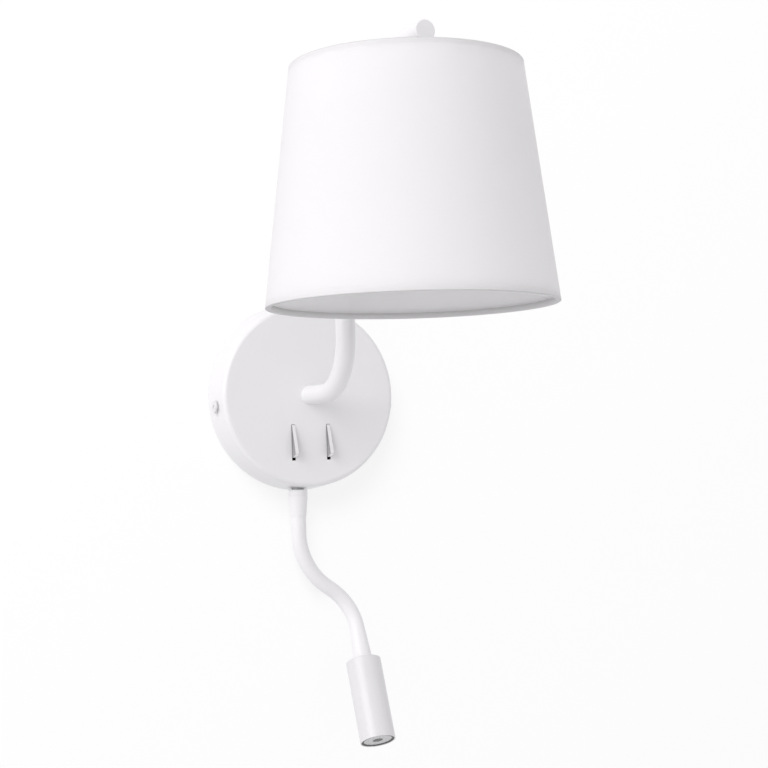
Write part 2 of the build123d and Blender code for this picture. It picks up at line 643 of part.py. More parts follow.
def terminal_block():
    """Three-pole terminal block with a screw well at each pole."""
    sx, sy, sz = TERMINAL_SIZE
    block = Box(sx, sy, sz, align=(Align.CENTER, Align.MIN, Align.CENTER))
    pitch = sx / TERMINAL_POLES
    for i in range(TERMINAL_POLES):
        x = (i - (TERMINAL_POLES - 1) / 2) * pitch
        well = rod((x, sy - TERMINAL_SCREW_DEPTH, 0), (x, 2 * sy, 0), TERMINAL_SCREW_R)
        block -= well
        if i:
            wall_x = x - pitch / 2
            block -= Location((wall_x, sy, 0)) * Box(TAG_THICK, 2 * TAG_THICK, 2 * sz)
    return Location((TERMINAL_X, CANOPY_INSIDE_Y, TERMINAL_Z)) * block


def lamp_lead():
    """Two-core lead from the terminal block through the arm to the lampholder."""
    sx, sy, sz = TERMINAL_SIZE
    lead_y = CANOPY_INSIDE_Y + STUD_IN_CANOPY + LAMP_LEAD_R + 2
    start = (TERMINAL_X + sx / 2 - LAMP_LEAD_R - 1, CANOPY_INSIDE_Y + sy * 0.6,
             TERMINAL_Z - sz / 2 - SKIN_GAP)
    below = (start[0], start[1], start[2] - 4 * LAMP_LEAD_R)
    knee = (start[0] + 4, lead_y, 0)
    turn = (0, lead_y, 0)
    over_holder = (0, -SHADE_STANDOFF, ARM_TOP_Z)
    end = (0, -SHADE_STANDOFF, HOLDER_BODY_TOP_Z - CORE_H / 3 + SKIN_GAP)
    path = FilletPolyline(start, below, knee, turn, (0, -ARM_STANDOFF, 0), (0, -ARM_STANDOFF, ARM_TOP_Z),
                          over_holder, end,
                          radius=[6.0, 6.0, 6.0, ARM_BEND_R, ARM_BEND_R, NIPPLE_R])
    return sweep(Plane(origin=start, z_dir=path % 0) * Circle(LAMP_LEAD_R), path)


def reader_lead():
    """Thin lead from the driver to the foot of the flexible neck."""
    sx, sy, sz = DRIVER_SIZE
    start = (DRIVER_X + sx / 2 - 6, CANOPY_INSIDE_Y + sy * 0.6, DRIVER_Z - sz / 2 - SKIN_GAP)
    below = (start[0], start[1], start[2] - 4 * READER_LEAD_R)
    behind_y = HOUSING_BACK_Y + READER_LEAD_R + 1.4
    side_x = ROCKER_OFFSET + 12
    below_z = ROCKER_MID_Z - ROCKER_SLOT_HALF
    end_z = -canopy_radius(-NECK_Y) + NECK_STUD_UP - 3
    points = [start, below, (side_x, behind_y, -12), (side_x, behind_y, below_z + 6),
              (NECK_X + 10, behind_y, below_z - 4.5), (NECK_X, NECK_Y, end_z + 4), (NECK_X, NECK_Y, end_z)]
    path = FilletPolyline(*points, radius=[4.0, 8.0, 6.0, 5.0, 2.4])
    return sweep(Plane(origin=start, z_dir=path % 0) * Circle(READER_LEAD_R), path)


# ---- Flexible neck ----
def neck_foot_z():
    """Height of the upper sleeve's top, just under the canopy's curved side."""
    return -math.sqrt(canopy_radius(-NECK_Y) ** 2 - NECK_X ** 2) - UPPER_SLEEVE_GRIP


def neck_points():
    """Ends and corners of the neck's middle line."""
    start = Vector(NECK_X, NECK_Y, neck_foot_z() - UPPER_SLEEVE_H)
    return start, Vector(*NECK_CORNER_A), Vector(*NECK_CORNER_B), Vector(*NECK_END)


def neck_frame():
    """Tangent points of the two bends, and the straight directions beside them."""
    start, corner_a, corner_b, end = neck_points()
    down = (corner_a - start).normalized()
    across = (corner_b - corner_a).normalized()
    last = (end - corner_b).normalized()
    tangent_a = NECK_BEND_A * math.tan(math.radians(down.get_angle(across) / 2))
    tangent_b = NECK_BEND_B * math.tan(math.radians(across.get_angle(last) / 2))
    into_a = corner_a - down * tangent_a
    out_a = corner_a + across * tangent_a
    into_b = corner_b - across * tangent_b
    out_b = corner_b + last * tangent_b
    return start, into_a, out_a, into_b, out_b, end, down, across, last


def head_direction():
    return neck_frame()[8]


def neck_piece(edges, start, direction):
    """A stretch of the neck's tube along joined edges."""
    path = Wire(edges)
    section = Plane(origin=start, z_dir=direction) * (Circle(NECK_R) - Circle(NECK_BORE_R))
    return sweep(section, path)


def neck_parts():
    """The neck's tube cut square across at each of its four flexing places."""
    start, into_a, out_a, into_b, out_b, end, down, across, last = neck_frame()
    bend_a = TangentArc(into_a, out_a, tangent=down)
    bend_b = TangentArc(into_b, out_b, tangent=across)
    half_a = bend_a.trim(0, 0.5)
    rest_a = bend_a.trim(0.5, 1)
    half_b = bend_b.trim(0, 0.5)
    rest_b = bend_b.trim(0.5, 1)
    middle = (out_a + into_b) / 2
    grip = end - last * LOWER_SLEEVE_H
    pieces = {
        "neck_hose_1": neck_piece([Line(start, into_a)], start, down),
        "neck_hose_2": neck_piece([half_a], into_a, down),
        "neck_hose_3": neck_piece([rest_a, Line(out_a, middle)], rest_a @ 0, rest_a % 0),
        "neck_hose_4": neck_piece([Line(middle, into_b), half_b], middle, across),
        "neck_hose_5": neck_piece([rest_b, Line(out_b, grip)], rest_b @ 0, rest_b % 0),
    }
    pivots = [into_a, bend_a @ 0.5, middle, bend_b @ 0.5]
    return pieces, pivots


def neck_upper_sleeve():
    """Tapered sleeve that grips the top of the neck under the canopy."""
    top = neck_foot_z()
    bore_r = NECK_STUD_R + SKIN_GAP
    wide_r = UPPER_SLEEVE_TOP_R
    edge = UPPER_COLLAR_EDGE
    groove_z = top - UPPER_COLLAR_H
    body = turned_z([(bore_r, top), (wide_r - edge, top), (wide_r, top - edge), (wide_r, groove_z),
                     (wide_r - UPPER_GROOVE, groove_z), (wide_r - UPPER_GROOVE, groove_z - UPPER_GROOVE),
                     (wide_r, groove_z - UPPER_GROOVE), (wide_r, top - UPPER_STRAIGHT_H),
                     (UPPER_SLEEVE_END_R, top - UPPER_SLEEVE_H), (NECK_BORE_R, top - UPPER_SLEEVE_H),
                     (NECK_BORE_R, top - UPPER_SLEEVE_H / 2), (bore_r, top - UPPER_SLEEVE_H / 2)])
    return Location((NECK_X, NECK_Y, 0)) * body


def neck_stud():
    """Threaded tube from the sleeve up through the canopy's side."""
    low = neck_foot_z() - UPPER_SLEEVE_H / 2
    high = neck_foot_z() + NECK_STUD_UP
    return Location((NECK_X, NECK_Y, low)) * ring(NECK_STUD_R, NECK_BORE_R, high - low)


def neck_nut():
    corner_r = canopy_radius(NECK_NUT_FLATS / 2 - NECK_Y) - CANOPY_SKIN
    corner_x = NECK_X - NECK_NUT_FLATS / 2 * math.tan(math.radians(30))
    lift = NECK_NUT_GAP - math.sqrt(corner_r ** 2 - corner_x ** 2)
    nut = hexagon(NECK_NUT_FLATS, NECK_NUT_THICK) - Cylinder(NECK_STUD_R + SKIN_GAP, 3 * NECK_NUT_THICK)
    return Location((NECK_X, NECK_Y, lift)) * nut


# ---- Reading head: parts are made pointing down local +Z from the top of the head ----
def head_place():
    end = neck_points()[3]
    return Location(Plane(origin=end, x_dir=(1, 0, 0), z_dir=head_direction()))


def neck_lower_sleeve():
    """Tapered sleeve between the neck and the head, with the stud that holds the head."""
    bore_r = NECK_R + SLEEVE_NECK_GAP
    body = turned_z([(NECK_BORE_R, -LOWER_SLEEVE_H), (LOWER_SLEEVE_TOP_R, -LOWER_SLEEVE_H),
                     (LOWER_SLEEVE_END_R, 0), (HEAD_STUD_R, 0), (HEAD_STUD_R, HEAD_STUD_IN),
                     (NECK_BORE_R / 2, HEAD_STUD_IN), (NECK_BORE_R / 2, -bore_r), (NECK_BORE_R, -2 * bore_r)])
    return head_place() * body


def head_body():
    """Turned cup that closes the head at the top and sides."""
    bore_r = HEAD_R - HEAD_WALL
    body = turned_z([(HEAD_STUD_R + SKIN_GAP, 0), (HEAD_R, 0), (HEAD_R, HEAD_LENGTH), (bore_r, HEAD_LENGTH),
                     (bore_r, HEAD_TOP_THICK), (HEAD_STUD_R + SKIN_GAP, HEAD_TOP_THICK)])
    rims = body.edges().group_by(Axis.Z)
    body = fillet(rims[0].sort_by(SortBy.LENGTH)[-1], HEAD_TOP_EDGE_R)
    mouth = body.edges().group_by(Axis.Z)[-1]
    body = fillet(mouth, HEAD_RIM_EDGE_R)
    return head_place() * body


def head_nut():
    nut = hexagon(HEAD_NUT_FLATS, HEAD_NUT_THICK) - Cylinder(HEAD_STUD_R + SKIN_GAP, 3 * HEAD_NUT_THICK)
    return head_place() * Location((0, 0, HEAD_TOP_THICK)) * nut


def lens_seat_z():
    return HEAD_LENGTH - LENS_RECESS


def board_z():
    """Back of the circuit board, measured from the top of the head."""
    return lens_seat_z() - LENS_H - LENS_GAP - CHIP_H - BOARD_THICK


def heat_slug():
    """Grooved aluminium slug behind the circuit board."""
    radius = HEAD_R - HEAD_WALL - HEAD_FIT
    top = board_z() - SLUG_H
    slug = Location((0, 0, top)) * Cylinder(radius, SLUG_H, align=(Align.CENTER, Align.CENTER, Align.MIN))
    pitch = SLUG_H / (SLUG_GROOVES + 1)
    for i in range(SLUG_GROOVES):
        z = top + (i + 1) * pitch - SLUG_GROOVE_W / 2
        slug -= Location((0, 0, z)) * ring(radius + 1, radius - SLUG_GROOVE_DEPTH, SLUG_GROOVE_W)
    return head_place() * slug


def led_board():
    radius = HEAD_R - HEAD_WALL - HEAD_FIT
    disc = Cylinder(radius, BOARD_THICK, align=(Align.CENTER, Align.CENTER, Align.MIN))
    notch = Location((radius, 0, 0)) * Cylinder(NECK_BORE_R / 2, 3 * BOARD_THICK)
    return head_place() * Location((0, 0, board_z())) * (disc - notch - Rotation(0, 0, 180) * notch)


def led_chip():
    chip = Box(CHIP_SIZE, CHIP_SIZE, CHIP_H, align=(Align.CENTER, Align.CENTER, Align.MIN))
    dome = Location((0, 0, CHIP_H)) * Sphere(CHIP_DOME_R)
    chip += dome - Box(CHIP_SIZE, CHIP_SIZE, 2 * CHIP_DOME_R, align=(Align.CENTER, Align.CENTER, Align.MAX))
    return head_place() * Location((0, 0, board_z() + BOARD_THICK)) * chip


def reading_lens():
    """Moulded lens: a cone with a pocket over the light source, a lip and a raised face."""
    seat = lens_seat_z()
    back = seat - LENS_H
    face_r = LENS_RING_BORE_R - HEAD_FIT
    body = turned_z([(0, back), (LENS_BACK_R, back), (LENS_FRONT_R, seat - LENS_LIP_H),
                     (LENS_LIP_R, seat - LENS_LIP_H), (LENS_LIP_R, seat - SKIN_GAP), (face_r, seat - SKIN_GAP),
                     (face_r, seat + LENS_RISE), (0, seat + LENS_RISE)])
    pocket = Location((0, 0, back)) * Cylinder(LENS_POCKET_R, 2 * LENS_POCKET_DEPTH)
    return head_place() * (body - pocket)


def lens_ring():
    """Ring pressed into the mouth of the head in front of the lens."""
    outer = HEAD_R - HEAD_WALL - HEAD_FIT
    return head_place() * Location((0, 0, lens_seat_z())) * ring(outer, LENS_RING_BORE_R, LENS_RING_H)


def build_parts():
    parts = {
        "wall_bracket": wall_bracket(),
        "earth_screw": earth_screw(),
        "canopy": canopy(),
        "canopy_side_screws": canopy_side_screws(),
        "arm_tube": arm_tube(),
        "arm_end_cap": arm_end_cap(),
        "arm_stud": arm_stud(),
        "arm_washer": arm_washer(),
        "arm_nut": arm_nut(),
        "shade_cover": shade_cover(),
        "shade_liner": shade_liner(),
        "shade_top_trim": shade_trim(SHADE_TOP_Z, -1),
        "shade_bottom_trim": shade_trim(SHADE_BOTTOM_Z, 1),
        "shade_bottom_ring": shade_bottom_ring(),
        "shade_carrier": shade_carrier(),
        "shade_clamp_ring": shade_clamp_ring(),
        "holder_nipple": holder_nipple(),
        "holder_cap": holder_cap(),
        "holder_body": holder_body(),
        "holder_core": holder_core(),
        "holder_screw_shell": holder_screw_shell(),
        "holder_contact": holder_contact(),
        "bulb_contact": bulb_contact(),
        "bulb_cap": bulb_cap(),
        "bulb_body": bulb_body(),
        "bulb_globe": bulb_globe(),
        "rocker_left": rocker(-1),
        "rocker_right": rocker(1),
        "switch_housing_left": switch_housing(-1),
        "switch_housing_right": switch_housing(1),
        "switch_tags": switch_tags(),
        "led_driver": led_driver(),
        "terminal_block": terminal_block(),
        "lamp_lead": lamp_lead(),
        "reader_lead": reader_lead(),
        "neck_upper_sleeve": neck_upper_sleeve(),
        "neck_stud": neck_stud(),
        "neck_nut": neck_nut(),
        "neck_lower_sleeve": neck_lower_sleeve(),
        "head_body": head_body(),
        "head_nut": head_nut(),
        "heat_slug": heat_slug(),
        "led_board": led_board(),
        "led_chip": led_chip(),
        "reading_lens": reading_lens(),
        "lens_ring": lens_ring(),
    }
    pieces, pivots = neck_parts()
    parts.update(pieces)
    return parts, pivots


def main():
    os.makedirs("parts", exist_ok=True)
    parts, pivots = build_parts()
    for name, shape in parts.items():
        export_step(shape, f"parts/{name}.step")
    for number, pivot in enumerate(pivots, 1):
        print(f"neck pivot {number}: {pivot.X:.2f} {pivot.Y:.2f} {pivot.Z:.2f}")
    rocker_pivot = (ROCKER_OFFSET, ROCKER_PIVOT_Y, ROCKER_MID_Z)
    print("rocker pivot:", rocker_pivot, "travel:", 2 * ROCKER_TILT)
    print("neck bends:", NECK_BEND_A, NECK_BEND_B)


main()
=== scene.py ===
import math
import bpy
from mathutils import Matrix, Vector


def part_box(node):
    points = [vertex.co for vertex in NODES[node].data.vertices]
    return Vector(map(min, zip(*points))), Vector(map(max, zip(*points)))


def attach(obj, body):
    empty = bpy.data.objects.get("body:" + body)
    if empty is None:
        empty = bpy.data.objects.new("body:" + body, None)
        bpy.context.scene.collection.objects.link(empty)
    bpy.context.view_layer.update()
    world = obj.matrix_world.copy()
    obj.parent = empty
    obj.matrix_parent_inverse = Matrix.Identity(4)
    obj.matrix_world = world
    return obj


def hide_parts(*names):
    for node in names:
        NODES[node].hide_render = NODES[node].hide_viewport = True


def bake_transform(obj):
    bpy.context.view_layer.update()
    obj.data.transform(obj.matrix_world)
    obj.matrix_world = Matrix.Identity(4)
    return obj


# Bedside wall lamp. Metres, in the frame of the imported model: the wall is the plane y = 0,
# the lamp stands out along -Y, and +Z is up.
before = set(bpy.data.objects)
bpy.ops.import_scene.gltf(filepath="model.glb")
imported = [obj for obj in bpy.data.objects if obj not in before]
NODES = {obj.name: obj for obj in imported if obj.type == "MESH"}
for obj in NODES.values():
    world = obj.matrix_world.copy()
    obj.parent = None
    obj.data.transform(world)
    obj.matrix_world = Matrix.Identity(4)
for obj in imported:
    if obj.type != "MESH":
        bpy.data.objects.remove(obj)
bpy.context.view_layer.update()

# ---- Sizes shared with the solids ----
SHADE_AXIS_Y = -0.1815
SHADE_TOP_Z = 0.1825
SHADE_BOTTOM_Z = 0.0435
SHADE_TOP_R = 0.068
SHADE_BOTTOM_R = 0.085
LINER_INSET = 0.0010       # outside of the shade to the inside of its liner
HEM_THICK = 0.0004
HEM_INSIDE = 0.0033        # height of the hem on the inside of the shade
HEM_DEEP = 0.0033          # outside of the shade to the inner face of the hem
NECK_R = 0.00495
NECK_CORNER_A = Vector((-0.0058, -0.0115, -0.1129))   # the straight runs would meet here
NECK_CORNER_B = Vector((0.0318, -0.0115, -0.1403))
NECK_END = Vector((0.0302, -0.0294, -0.1755))         # middle of the top of the head
NECK_BEND_A = 0.044        # radius of the bend at each corner
NECK_BEND_B = 0.030
LOWER_SLEEVE_H = 0.0215
SLEEVE_GRIP = 0.001        # length of the neck's skin inside the lower sleeve
LENS_FACE = 0.0543         # top of the head to the face of the lens
LENS_R = 0.0093

# ---- Fineness of the meshes ----
ROUND_STEPS = 192          # round the shade
SHEET_ROWS = 28            # up the cover and the liner
HEM_FOLD_STEPS = 4
HEM_ROUND_STEPS = 6
ARC_STEPS = 24             # along each bend of the neck
RUN_STEPS = (12, 8, 14)    # along its three straight runs
NECK_RINGS = 36            # along each length of its skin
NECK_SIDES = 40

# ---- Camera ----
CAMERA_AT = Vector((-0.4227075, -1.0461711, -0.0478465))
CAMERA_RIGHT = Vector((0.90664492, -0.42091689, -0.02870459))
CAMERA_UP = Vector((0.00552267, -0.05619091, 0.99840477))
CAMERA_LENS = 78.71        # millimetres
CAMERA_SENSOR = 36.0       # millimetres
CAMERA_REACH = 50.0

# ---- Light ----
LIGHT_TINT = (1.0, 0.978, 1.0)
SKY = 0.77                 # light from all round, as strong as this from the horizon
SKY_LIFT = 0.02            # added overhead and taken away underneath
LAMP_AIM = Vector((0, -0.10, 0.0))
KEY_LEVEL = 0.52           # light of the lamp on a surface that faces it
KEY_SIZE = 1.6
KEY_FROM = Vector((-0.82, -0.35, 0.46))
KEY_DISTANCE = 2.2
WASH_LEVEL = 0.50          # the same for the lamp that only the backdrop takes
WASH_SIZE = 1.0
WASH_FROM = Vector((-0.46, -0.67, 0.58))
WASH_DISTANCE = 2.0

# ---- Backdrop ----
WALL_GLOW = 0.715          # light that the backdrop gives by itself
WALL_MATT = 0.27           # share that it throws back of the light on it
WALL_Y = 0.0006            # just behind the back of the lamp
WALL_FOOT_Z = -2
WALL_TOP_Z = 3
FLOOR_Z = -1.2
FLOOR_FRONT_Y = -5
FLOOR_BACK_Y = 3
STAGE_HALF = 4             # half the width of both

# ---- Noise in the materials, in cells to the metre ----
PEEL = 900.0               # orange peel of paint, flow marks of the lens
PAINT_PATCHES = 22.0
SPARK_GRAIN = 2600.0
MOULD_PATCHES = 60.0
DRAWN_LINES = 420.0
METAL_PATCHES = 40.0
SLUBS = 120.0
DRAWN_STRETCH = (1, 1, 12)
FINE_RELIEF = 0.00001      # depth of the grain of plastic and of the drawn lines, in metres


# ---- Node helpers ----
def new_material(name):
    mat = bpy.data.materials.new(name)
    mat.use_nodes = True
    tree = mat.node_tree
    tree.nodes.clear()
    out = tree.nodes.new("ShaderNodeOutputMaterial")
    return mat, tree, out


def add(tree, kind, **inputs):
    """A node with its input sockets set; names use _ for a space."""
    node = tree.nodes.new(kind)
    for key, value in inputs.items():
        node.inputs[key.replace("_", " ")].default_value = value
    return node


def coords(tree, kind, stretch=(1, 1, 1)):
    """Texture coordinates of one kind, stretched along each axis."""
    source = tree.nodes.new("ShaderNodeTexCoord")
    mapping = add(tree, "ShaderNodeMapping", Scale=stretch)
    tree.links.new(source.outputs[kind], mapping.inputs["Vector"])
    return mapping.outputs["Vector"]


def noise(tree, vector, scale, detail=2.0):
    node = add(tree, "ShaderNodeTexNoise", Scale=scale, Detail=detail)
    tree.links.new(vector, node.inputs["Vector"])
    return node.outputs["Fac"]


def ranged(tree, value, low, high):
    """A 0 to 1 value spread between two limits."""
    node = add(tree, "ShaderNodeMapRange", To_Min=low, To_Max=high)
    tree.links.new(value, node.inputs["Value"])
    return node.outputs["Result"]


def tint(tree, value, colour, change):
    """A colour that moves by a share as value goes from 0 to 1."""
    ramp = tree.nodes.new("ShaderNodeValToRGB")
    ramp.color_ramp.elements[0].color = (*[c * (1 - change) for c in colour], 1)
    ramp.color_ramp.elements[1].color = (*[min(c * (1 + change), 1) for c in colour], 1)
    tree.links.new(value, ramp.inputs["Fac"])
    return ramp.outputs["Color"]


def bump(tree, height, distance):
    node = add(tree, "ShaderNodeBump", Strength=1.0, Distance=distance)
    tree.links.new(height, node.inputs["Height"])
    return node.outputs["Normal"]


# ---- Materials ----
def coated(name, colour, rough=0.38, grain=0.00002):
    """Powder coat or paint: a faint orange peel and a slight change in gloss."""
    mat, tree, out = new_material(name)
    shader = tree.nodes.new("ShaderNodeBsdfPrincipled")
    place = coords(tree, "Object")
    peel = noise(tree, place, PEEL, detail=3.0)
    broad = noise(tree, place, PAINT_PATCHES)
    tree.links.new(tint(tree, broad, colour, change=0.012), shader.inputs["Base Color"])
    tree.links.new(ranged(tree, broad, rough - 0.04, rough + 0.04), shader.inputs["Roughness"])
    tree.links.new(bump(tree, peel, grain), shader.inputs["Normal"])
    tree.links.new(shader.outputs[0], out.inputs["Surface"])
    return mat


def moulded(name, colour, rough=0.35):
    """Moulded plastic with a fine spark-eroded grain."""
    mat, tree, out = new_material(name)
    shader = add(tree, "ShaderNodeBsdfPrincipled", Specular_IOR_Level=0.45)
    place = coords(tree, "Object")
    fine = noise(tree, place, SPARK_GRAIN)
    broad = noise(tree, place, MOULD_PATCHES)
    tree.links.new(tint(tree, broad, colour, change=0.01), shader.inputs["Base Color"])
    tree.links.new(ranged(tree, fine, rough - 0.05, rough + 0.05), shader.inputs["Roughness"])
    tree.links.new(bump(tree, fine, FINE_RELIEF), shader.inputs["Normal"])
    tree.links.new(shader.outputs[0], out.inputs["Surface"])
    return mat


def metal(name, colour, rough=0.28):
    """Bare or plated metal with fine drawn lines."""
    mat, tree, out = new_material(name)
    shader = add(tree, "ShaderNodeBsdfPrincipled", Metallic=1.0)
    lines = noise(tree, coords(tree, "Object", DRAWN_STRETCH), DRAWN_LINES, detail=3.0)
    broad = noise(tree, coords(tree, "Object"), METAL_PATCHES)
    tree.links.new(tint(tree, broad, colour, change=0.05), shader.inputs["Base Color"])
    tree.links.new(ranged(tree, lines, rough - 0.08, rough + 0.10), shader.inputs["Roughness"])
    tree.links.new(bump(tree, lines, FINE_RELIEF), shader.inputs["Normal"])
    tree.links.new(shader.outputs[0], out.inputs["Surface"])
    return mat


def woven(name, colour, pitch, depth, glow, rough=0.85):
    """Cloth: two sets of threads over UVs in metres, with slubs; glow is the share of the
    cloth that lets light through. The wave texture repeats every pi / (10 * Scale)."""
    mat, tree, out = new_material(name)
    shader = add(tree, "ShaderNodeBsdfPrincipled", Specular_IOR_Level=0.25, Sheen_Weight=0.15,
                 Sheen_Roughness=0.4)
    uv = coords(tree, "UV")
    threads = []
    for direction in ("X", "Y"):
        wave = add(tree, "ShaderNodeTexWave", Scale=math.pi / (10 * pitch), Distortion=0.6,
                   Detail=1.0, Detail_Scale=2.0)
        wave.bands_direction = direction
        tree.links.new(uv, wave.inputs["Vector"])
        threads.append(wave.outputs["Fac"])
    weave = tree.nodes.new("ShaderNodeMath")
    weave.operation = "MAXIMUM"
    tree.links.new(threads[0], weave.inputs[0])
    tree.links.new(threads[1], weave.inputs[1])
    slubs = noise(tree, coords(tree, "UV", (1, 14, 1)), SLUBS, detail=4.0)
    mottled = tint(tree, slubs, colour, change=0.015)
    tree.links.new(mottled, shader.inputs["Base Color"])
    tree.links.new(ranged(tree, slubs, rough - 0.05, rough + 0.05), shader.inputs["Roughness"])
    relief = bump(tree, weave.outputs[0], depth)
    tree.links.new(relief, shader.inputs["Normal"])
    through = tree.nodes.new("ShaderNodeBsdfTranslucent")
    tree.links.new(mottled, through.inputs["Color"])
    tree.links.new(relief, through.inputs["Normal"])
    both = add(tree, "ShaderNodeMixShader", Fac=glow)
    tree.links.new(shader.outputs[0], both.inputs[1])
    tree.links.new(through.outputs[0], both.inputs[2])
    tree.links.new(both.outputs[0], out.inputs["Surface"])
    return mat


# Painted shade of the pocket behind the lens: dark out to the first share, pale from the second.
LENS_SHADE_TO = 0.32        # shares of the lens's radius
LENS_PALE_FROM = 0.40


def frosted_lens(name, centre, rim, middle):
    """Frosted moulded lens: pale at the rim, and at the centre of its face dark with painted shade
    of the pocket that lies behind it. The centre is given in the node's own coordinates."""
    mat, tree, out = new_material(name)
    shader = add(tree, "ShaderNodeBsdfPrincipled", Transmission_Weight=0.15, IOR=1.49)
    place = tree.nodes.new("ShaderNodeTexCoord")
    offset = tree.nodes.new("ShaderNodeVectorMath")
    offset.operation = "SUBTRACT"
    offset.inputs[1].default_value = centre
    tree.links.new(place.outputs["Object"], offset.inputs[0])
    away = tree.nodes.new("ShaderNodeVectorMath")
    away.operation = "LENGTH"
    tree.links.new(offset.outputs["Vector"], away.inputs[0])
    share = add(tree, "ShaderNodeMapRange", From_Min=0.0, From_Max=LENS_R)
    tree.links.new(away.outputs["Value"], share.inputs["Value"])
    ramp = tree.nodes.new("ShaderNodeValToRGB")
    stops = ramp.color_ramp.elements
    stops[0].position = LENS_SHADE_TO
    stops[0].color = (*middle, 1)
    stops[1].position = LENS_PALE_FROM
    stops[1].color = (*rim, 1)
    tree.links.new(share.outputs["Result"], ramp.inputs["Fac"])
    tree.links.new(ramp.outputs["Color"], shader.inputs["Base Color"])
    flow = noise(tree, coords(tree, "Object"), PEEL)
    tree.links.new(ranged(tree, flow, 0.22, 0.34), shader.inputs["Roughness"])
    tree.links.new(shader.outputs[0], out.inputs["Surface"])
    return mat


# The rocker's flanks take painted shade, darker towards the top where the rocker sinks into its slot;
# its foot takes a painted highlight.
FLANK_FROM, FLANK_TO = 0.6, 0.8      # share of the surface's direction that is along X
FOOT_FROM, FOOT_TO = -0.8, -0.9      # the same along Z
FOOT_HIGHLIGHT = 0.9


def rocker_with_painted_light(name, face, flank_shade_top, flank_shade_low):
    """Moulded rocker: pale face and ends, with painted shade on the flanks that is darker towards the
    top and pale towards the foot, and a painted highlight that makes the foot nearly white."""
    mat, tree, out = new_material(name)
    shader = add(tree, "ShaderNodeBsdfPrincipled", Specular_IOR_Level=0.45)
    place = tree.nodes.new("ShaderNodeTexCoord")
    split = tree.nodes.new("ShaderNodeSeparateXYZ")
    tree.links.new(place.outputs["Normal"], split.inputs[0])
    flat = tree.nodes.new("ShaderNodeMath")
    flat.operation = "ABSOLUTE"
    tree.links.new(split.outputs["X"], flat.inputs[0])
    flank = add(tree, "ShaderNodeMapRange", From_Min=FLANK_FROM, From_Max=FLANK_TO)
    tree.links.new(flat.outputs[0], flank.inputs["Value"])
    height = tree.nodes.new("ShaderNodeSeparateXYZ")
    tree.links.new(place.outputs["Generated"], height.inputs[0])
    flank_shade = tree.nodes.new("ShaderNodeValToRGB")
    flank_shade.color_ramp.elements[0].color = (*flank_shade_low, 1)
    flank_shade.color_ramp.elements[1].color = (*flank_shade_top, 1)
    tree.links.new(height.outputs["Z"], flank_shade.inputs["Fac"])
    fine = noise(tree, coords(tree, "Object"), SPARK_GRAIN)
    foot_highlight = add(tree, "ShaderNodeMapRange", From_Min=FOOT_FROM, From_Max=FOOT_TO, To_Max=FOOT_HIGHLIGHT)
    tree.links.new(split.outputs["Z"], foot_highlight.inputs["Value"])
    with_foot_highlight = tree.nodes.new("ShaderNodeMix")
    with_foot_highlight.data_type = "RGBA"
    with_foot_highlight.inputs["B"].default_value = (1, 1, 1, 1)
    tree.links.new(foot_highlight.outputs["Result"], with_foot_highlight.inputs["Factor"])
    tree.links.new(tint(tree, fine, face, change=0.01), with_foot_highlight.inputs["A"])
    both = tree.nodes.new("ShaderNodeMix")
    both.data_type = "RGBA"
    tree.links.new(flank.outputs["Result"], both.inputs["Factor"])
    tree.links.new(with_foot_highlight.outputs["Result"], both.inputs["A"])
    tree.links.new(flank_shade.outputs["Color"], both.inputs["B"])
    tree.links.new(both.outputs["Result"], shader.inputs["Base Color"])
    tree.links.new(ranged(tree, fine, 0.30, 0.40), shader.inputs["Roughness"])
    tree.links.new(shader.outputs[0], out.inputs["Surface"])
    return mat


def own_place(node, point):
    """A point of the part in one node's own coordinates."""
    return NODES[node].matrix_world.inverted() @ point


white_paint = coated("white_powder_coat", (0.845, 0.845, 0.85))
# The arm has the canopy's white coat, painted slightly darker as a stand-in for less light on it:
# painted shade.
arm_paint_shaded = coated("white_arm_coat_shaded", (0.842, 0.842, 0.847))
# The head has the canopy's white coat, painted darker as a stand-in for less light on it: painted
# shade.
head_paint_shaded = coated("white_head_coat_shaded", (0.735, 0.735, 0.74), rough=0.30)
wire_paint = coated("white_wire_coat", (0.80, 0.80, 0.80), rough=0.45)
white_moulding = moulded("white_moulding", (0.82, 0.82, 0.82))
core_moulding = moulded("core_moulding", (0.72, 0.70, 0.64), rough=0.5)
black_moulding = moulded("black_moulding", (0.012, 0.012, 0.012), rough=0.5)
dark_moulding = moulded("dark_moulding", (0.05, 0.05, 0.05), rough=0.45)
opal = moulded("opal_diffuser", (0.88, 0.88, 0.86), rough=0.45)
sheath = moulded("lead_sheath", (0.78, 0.78, 0.77), rough=0.5)
chip = moulded("phosphor_resin", (0.70, 0.50, 0.10), rough=0.4)
zinc = metal("zinc_plate", (0.60, 0.60, 0.61), rough=0.35)
screw_coat = coated("white_screw_coat", (0.76, 0.76, 0.765), rough=0.34)
# The neck's stud is painted dark as the shade in the gap between the canopy and the neck's sleeve.
stud_gap_shade = metal("steel_painted_gap_shade", (0.30, 0.30, 0.31), rough=0.45)
brass = metal("brass", (0.72, 0.54, 0.24), rough=0.25)
aluminium = metal("turned_aluminium", (0.74, 0.75, 0.77), rough=0.30)
head_axis = (NECK_END - NECK_CORNER_B).normalized()
# The lens's dark middle is painted shade of its pocket.
lens = frosted_lens("frosted_lens", own_place("reading_lens", NECK_END + head_axis * LENS_FACE),
                    rim=(0.66, 0.66, 0.67), middle=(0.012, 0.012, 0.012))
